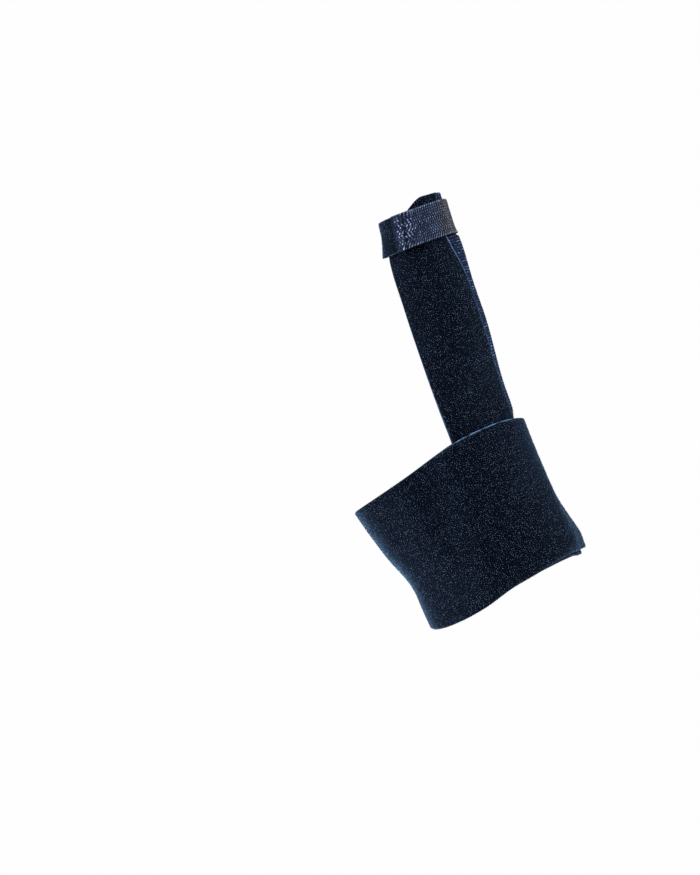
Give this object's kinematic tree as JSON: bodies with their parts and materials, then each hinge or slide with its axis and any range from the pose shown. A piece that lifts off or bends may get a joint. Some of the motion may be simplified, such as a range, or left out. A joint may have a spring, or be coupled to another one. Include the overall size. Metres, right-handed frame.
{
  "type": "thumb spica splint",
  "caption": "Thumb spica splint: soft wrist band wound over a padded stay that runs up the thumb to a woven hook-and-loop strap.",
  "frame": {"origin": "middle of the wrist, half way up the band", "axes": "+Z along the forearm towards the hand, +X to the thumb's side, -Y to the back of the hand"},
  "size_m": [0.0908, 0.0593, 0.1494],
  "materials": {
    "pile_laminate": "brushed loop pile on foam, matt dark navy",
    "knit": "knitted face, indigo",
    "webbing": "twill-woven webbing, slate navy"
  },
  "bodies": {
    "root": {"wrist_band": "pile_laminate", "wrist_tab": "webbing", "stay_base": "knit", "stay_cover": "pile_laminate", "thumb_loop": "pile_laminate", "thumb_webbing": "webbing"}
  },
  "joints": []
}
